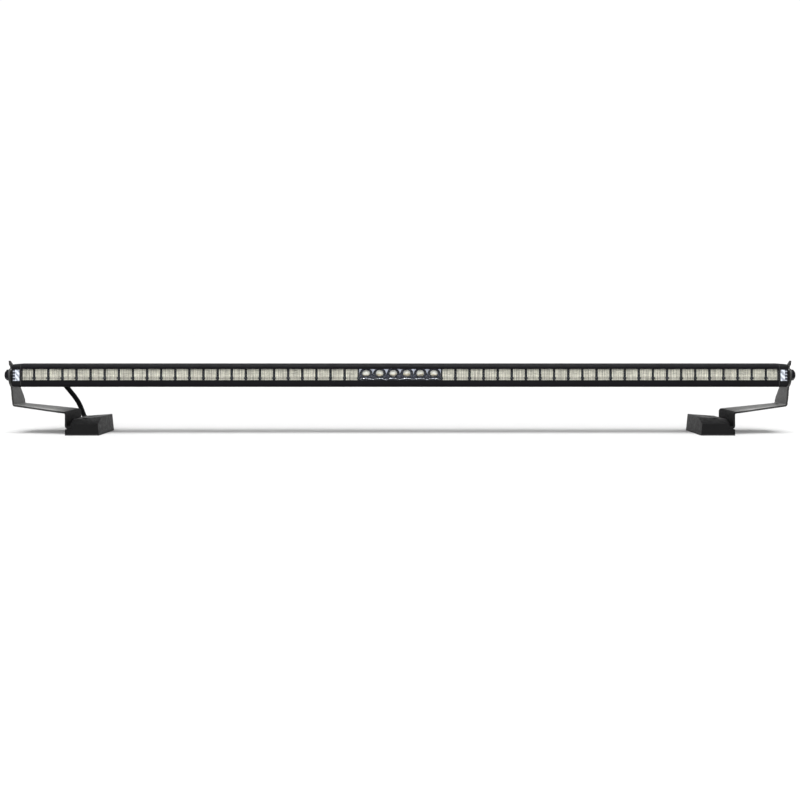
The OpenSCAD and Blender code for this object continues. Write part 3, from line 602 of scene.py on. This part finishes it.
def flood_tiles(side):
    """A strip of fluted ivory tiles with a dark gap between two."""
    node = side + "_flood_lens"
    low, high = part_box(node)
    sign = 1 if side == "right" else -1
    nx = FLUTES * FLUTE_POINTS + 1
    shares = [(shelf + share) / SHELVES for shelf in range(SHELVES) for share in SHELF_SHARES]
    shares.append(1.0)
    nz = len(shares)
    row = nx + 2
    bottom = low[2] + TILE_INSET
    width = FLOOD_PITCH - CELL_GAP
    tall = FLOOD_HEIGHT - 2 * TILE_INSET
    points = []
    faces = []
    for cell in range(FLOOD_CELLS):
        start = FLOOD_START + cell * FLOOD_PITCH + CELL_GAP / 2
        base = len(points)
        for j in range(nz + 2):
            for i in range(row):
                u = min(max(i - 1, 0), nx - 1) / (nx - 1)
                v = shares[min(max(j - 1, 0), nz - 1)]
                edge = i in (0, nx + 1) or j in (0, nz + 1)
                y = high[1] - TILE_SET_BACK if edge else low[1] + tile_depth(u, min(v, LAST_SHARE))
                points.append((sign * (start + u * width), y, bottom + v * tall))
        for j in range(nz + 1):
            for i in range(nx + 1):
                a = base + j * row + i
                quad = (a, a + 1, a + row + 1, a + row)
                faces.append(quad if sign > 0 else tuple(reversed(quad)))
    mesh = new_mesh(side + "_flood_tiles", points, faces)
    piece = make(side + "_flood_tiles", mesh, BAR, "flood_optic", look="flood_ivory_painted_light")
    sharpen(mesh, 50)
    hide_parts(node)


def block(bm, middle, size):
    """A closed box in a bmesh."""
    made = bmesh.ops.create_cube(bm, size=1.0)
    bmesh.ops.scale(bm, verts=made["verts"], vec=size)
    bmesh.ops.translate(bm, verts=made["verts"], vec=middle)


def finish_mesh(bm, name):
    """The mesh of a bmesh, its faces turned outward."""
    bmesh.ops.recalc_face_normals(bm, faces=bm.faces)
    mesh = bpy.data.meshes.new(name)
    bm.to_mesh(mesh)
    bm.free()
    return mesh


def flood_clips():
    """Small black clips that hold two neighbouring tiles, low on each gap."""
    y = optic_low[1] + CLIP[1] / 2 - CLIP_PROUD
    z = optic_low[2] + CLIP_UP + CLIP[2] / 2
    bm = bmesh.new()
    for sign in (-1, 1):
        for cell in range(FLOOD_CELLS):
            block(bm, (sign * (FLOOD_START + cell * FLOOD_PITCH), y, z), CLIP)
    every = list(bm.edges)
    bmesh.ops.bevel(bm, geom=every, offset=CLIP_EDGE, segments=2, affect="EDGES", clamp_overlap=True)
    mesh = finish_mesh(bm, "flood_clips")
    make("flood_clips", mesh, BAR, "component_dark")
    sharpen(mesh, 40)


for side in SIDES:
    flood_tiles(side)
flood_clips()


# ---------------------------------------------------------------- spot optics

CUP_RINGS = 16
CUP_SIDES = 72
CUP_DEPTH = 5.6 * MM
CUP_MOUTH = SPOT_PITCH / 2 - 0.05 * MM
CUP_THROAT = 2.7 * MM
THROAT_END = 1.3 * MM         # in front of the reflector's back
CUP_BACK = 0.2 * MM           # in front of it too
PLATE_LEAN = 1.8 * MM         # the plate's top edge stands this far in front of its bottom edge
DOME_RINGS = 18
DOME_SIDES = 64
DOME_RADIUS = 6.4 * MM
DOME_RISE = 4.2 * MM
DOME_FLAT = 0.001             # share of the radius that is flat in its middle
DOME_RIPPLE = 0.07 * MM
DOME_RIPPLES = 4.5            # from its middle to its rim
DOME_RIM = 0.8 * MM
DOME_UP = 2.0 * MM            # of the dome's middle above the cell's
DOME_BACK = spot_low[1] + 5.2 * MM
LEDGE_STEPS = 16              # along a cell
LEDGE_UP = 3.3 * MM           # height of the ledge at a cell's middle
LEDGE_SIDE = 0.9 * MM         # and between two cells
LEDGE_INSET = 0.1 * MM        # from the reflector's ends and underside
LEDGE_FRONT = spot_low[1] - 0.55 * MM
LEDGE_BACK = spot_low[1] + 1.2 * MM
BEAD_RADIUS = 0.3 * MM
BEAD_BACK = 0.25 * MM         # of the bead's middle behind the ledge's front
BEAD_SIDES = 10
TINY = 1e-6                   # keeps the outline's sums from dividing by zero


def plate_y(z):
    """Depth of the spot reflector's front at a height from its middle."""
    return spot_low[1] + PLATE_LEAN * (SPOT_HALF - z) / (2 * SPOT_HALF)


def cup_ring(bm, x, radius=None, depth=0.0, y=None):
    """Points round a cell at a radius, or on its outline; at a depth behind the plate, or at y."""
    made = []
    for c, s in circle(1, CUP_SIDES):
        r = radius or min(SPOT_PITCH / 2 / max(abs(c), TINY), SPOT_HALF / max(abs(s), TINY))
        z = max(-SPOT_HALF, min(SPOT_HALF, r * s))
        made.append(bm.verts.new((x + r * c, plate_y(z) + depth if y is None else y, SPOT_MID + z)))
    return made


def spot_cups():
    """A metallised block of round dishes that meet each other and its long edges, with a painted dark
    reflection on the dishes and a painted highlight on the plate above the cells' middle.
    """
    bm = bmesh.new()
    for cell in range(SPOT_CELLS):
        x = spot_low[0] + (cell + 0.5) * SPOT_PITCH
        rings = [cup_ring(bm, x, CUP_THROAT, y=spot_high[1] - THROAT_END)]
        for r in range(CUP_RINGS + 1):
            radius = CUP_THROAT + (CUP_MOUTH - CUP_THROAT) * r / CUP_RINGS
            rings.append(cup_ring(bm, x, radius, CUP_DEPTH * (1 - (radius / CUP_MOUTH) ** 2)))
        rings.append(cup_ring(bm, x))
        rings.append(cup_ring(bm, x, y=spot_high[1] - CUP_BACK))
        rings.append(cup_ring(bm, x, CUP_THROAT, y=spot_high[1] - CUP_BACK))
        rings.append(rings[0])
        for a, b in zip(rings, rings[1:]):
            for k in range(CUP_SIDES):
                n = (k + 1) % CUP_SIDES
                bm.faces.new((a[k], a[n], b[n], b[k]))
    mesh = finish_mesh(bm, "spot_cups")
    piece = make("spot_cups", mesh, BAR, "reflector", look="mirror_painted_dark")
    sharpen(mesh, 32)
    # painted highlight on the plate's faces above the cells' middle; the rest keeps the painted dark
    # reflection
    mesh.materials.append(MATERIALS["plate_painted_highlight"])
    for face in mesh.polygons:
        on_plate = face.center.y < spot_low[1] + PLATE_LEAN and abs(face.normal.y) > 0.9
        if on_plate and face.center.z > SPOT_MID:
            face.material_index = 1
    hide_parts("spot_reflector")


def ledge_tops():
    """The scalloped line of the ledge's top, as pairs of x and z."""
    count = SPOT_CELLS * LEDGE_STEPS
    length = spot_high[0] - spot_low[0] - 2 * LEDGE_INSET
    tops = []
    for i in range(count + 1):
        share = (i % LEDGE_STEPS) / LEDGE_STEPS
        rise = 1 - (2 * share - 1) ** 2
        x = spot_low[0] + LEDGE_INSET + length * i / count
        tops.append((x, spot_low[2] + LEDGE_INSET + LEDGE_SIDE + (LEDGE_UP - LEDGE_SIDE) * rise))
    return tops


def spot_ledge_painted_shade(tops):
    """A black ledge along the foot of the spot cells, put there as painted shade for the dark reflection at
    the cells' foot.
    """
    bottom = spot_low[2] + LEDGE_INSET
    points = []
    for x, z in tops:
        for y, height in ((LEDGE_BACK, bottom), (LEDGE_FRONT, bottom), (LEDGE_FRONT, z), (LEDGE_BACK, z)):
            points.append((x, y, height))
    mesh = grid_mesh("spot_ledge_painted_shade", points, len(tops), 4)
    make("spot_ledge_painted_shade", mesh, BAR, "component_dark")
    sharpen(mesh, 30)


def spot_bead(tops):
    """A bright bead along the ledge's top."""
    y = LEDGE_FRONT + BEAD_BACK
    points = [(x, y + c, z + s) for x, z in tops for c, s in circle(BEAD_RADIUS, BEAD_SIDES)]
    mesh = grid_mesh("spot_bead", points, len(tops), BEAD_SIDES)
    make("spot_bead", mesh, BAR, "reflector", look="silver_bead")


def spot_domes():
    """A domed lens in the mouth of each cup, with fine rings moulded in it and a flat rim."""
    rings = []
    for r in range(DOME_RINGS + 1):
        share = r / DOME_RINGS
        ripple = DOME_RIPPLE * math.cos(2 * math.pi * DOME_RIPPLES * share)
        rings.append((max(share, DOME_FLAT), DOME_BACK - DOME_RISE * math.sqrt(1 - share**2) - ripple))
    rings.append((1, DOME_BACK + DOME_RIM))
    points = []
    faces = []
    for cell in range(SPOT_CELLS):
        x = spot_low[0] + (cell + 0.5) * SPOT_PITCH
        base = len(points)
        for share, y in rings:
            for c, s in circle(DOME_RADIUS * share, DOME_SIDES):
                points.append((x + c, y, SPOT_MID + DOME_UP + s))
        for r in range(len(rings) - 1):
            for k in range(DOME_SIDES):
                n = (k + 1) % DOME_SIDES
                a = base + r * DOME_SIDES
                b = a + DOME_SIDES
                faces.append((a + k, a + n, b + n, b + k))
        last = base + (len(rings) - 1) * DOME_SIDES
        faces.append(tuple(base + k for k in reversed(range(DOME_SIDES))))
        faces.append(tuple(last + k for k in range(DOME_SIDES)))
    mesh = new_mesh("spot_domes", points, faces)
    make("spot_domes", mesh, BAR, "flood_optic", look="dome_cream_painted_light")
    sharpen(mesh, 40)


spot_cups()
spot_domes()
spot_tops = ledge_tops()
spot_ledge_painted_shade(spot_tops)
spot_bead(spot_tops)


# ---------------------------------------------------------------- rounded edges

ROUNDED = {                   # radius in mm
    "left_bracket": 0.35, "right_bracket": 0.35,
    "left_foot_block": 0.7, "right_foot_block": 0.7,
    "left_end_cap": 0.4, "right_end_cap": 0.4,
    "connector_housing": 0.4, "gland_nut": 0.4, "gland_body": 0.3, "vent_body": 0.3,
    "pivot_bolts": 0.35, "lock_screws": 0.25,
}
SHARP_ANGLE = 35              # an edge that turns by more, in degrees, is rounded
FLAT_ANGLE = 2                # faces that turn by less are joined first
WELD = 0.001 * MM             # and points nearer than this


def rounded(node, radius):
    """A copy of a CAD node whose sharp edges are rounded off."""
    mesh = frame["nodes"][node].data.copy()
    bm = bmesh.new()
    bm.from_mesh(mesh)
    bmesh.ops.remove_doubles(bm, verts=bm.verts, dist=WELD)
    bmesh.ops.dissolve_limit(bm, angle_limit=math.radians(FLAT_ANGLE), verts=bm.verts, edges=bm.edges)
    bm.to_mesh(mesh)
    bm.free()
    piece = make(node + "_finished", mesh, body_of(node), SLOT_OF[node])
    bevel = piece.modifiers.new("rounding", "BEVEL")
    bevel.width = radius * MM
    bevel.segments = 3
    bevel.limit_method = "ANGLE"
    bevel.angle_limit = math.radians(SHARP_ANGLE)
    sharpen(mesh, SHARP_ANGLE)
    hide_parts(node)
    return piece


def paint_step_shade(bracket):
    """Paint shade on the plate that steps down to the foot: a near-black matt material stands in for the
    shade between arm and foot.
    """
    bracket.data.materials.append(MATERIALS["step_painted_shade"])
    for face in bracket.data.polygons:
        if abs(face.center.x) < STEP_SHADE_DARKEST + SHEET:
            face.material_index = 1


for node, radius in ROUNDED.items():
    piece = rounded(node, radius)
    if node.endswith("_bracket"):
        paint_step_shade(piece)


# ---------------------------------------------------------------- CAD nodes that stay

OTHER_LOOKS = {"left_flood_reflector": "flood_walls", "right_flood_reflector": "flood_walls"}
for name, node in frame["nodes"].items():
    if not node.hide_render:
        wear(node, SLOT_OF[name], OTHER_LOOKS.get(name))
        node.data.shade_smooth()
        sharpen(node.data, 30)


# ---------------------------------------------------------------- studio

FLOOR_SIZE = 60
OVERHEAD = 0.15               # level of the room's light overhead, 1 at the horizon
WORLD_POWER = 1.3
WALL_WHITE = 1.04             # what the camera sees of the room


def floor():
    half = FLOOR_SIZE / 2
    corners = [(-half, -half, 0), (half, -half, 0), (half, half, 0), (-half, half, 0)]
    mesh = new_mesh("floor", corners, [(0, 1, 2, 3)])
    piece = bpy.data.objects.new("floor", mesh)
    bpy.context.scene.collection.objects.link(piece)
    mesh.materials.append(Finish("floor_white", grey(0.51), 0.8, specular=0.05).material)


def soft_light(name, power, spread, tilt):
    """A broad, even light, tilted from straight above towards the camera."""
    data = bpy.data.lights.new(name, "SUN")
    data.energy = power
    data.angle = math.radians(spread)
    lamp = bpy.data.objects.new(name, data)
    lamp.rotation_euler = (math.radians(tilt), 0, 0)
    bpy.context.scene.collection.objects.link(lamp)


def world():
    """A white room to look at; its light is white at the horizon, dim overhead and on the -Y side."""
    room = bpy.data.worlds.new("room")
    bpy.context.scene.world = room
    room.use_nodes = True
    t = Tree(room.node_tree)
    where = t.parts(t.add("TexCoord").outputs["Generated"])
    light = t.tree.nodes["Background"]
    t.link(t.ramp(where["Z"], ((0.34, grey(1.0)), (0.62, grey(OVERHEAD)))), light.inputs["Color"])
    back = t.ranged(where["Y"], -0.75, -0.1, low=0.12)
    t.link(t.calc("MULTIPLY", back, WORLD_POWER), light.inputs["Strength"])
    wall = t.add("Background", Color=(1, 1, 1, 1), Strength=WALL_WHITE)
    mix = t.add("MixShader")
    t.link(t.add("LightPath").outputs["Is Camera Ray"], mix.inputs["Fac"])
    t.link(light.outputs["Background"], mix.inputs[1])
    t.link(wall.outputs["Background"], mix.inputs[2])
    t.link(mix.outputs["Shader"], t.tree.nodes["World Output"].inputs["Surface"])


floor()
soft_light("key", power=5.0, spread=31, tilt=29)
soft_light("fill", power=2.3, spread=42, tilt=60)
world()
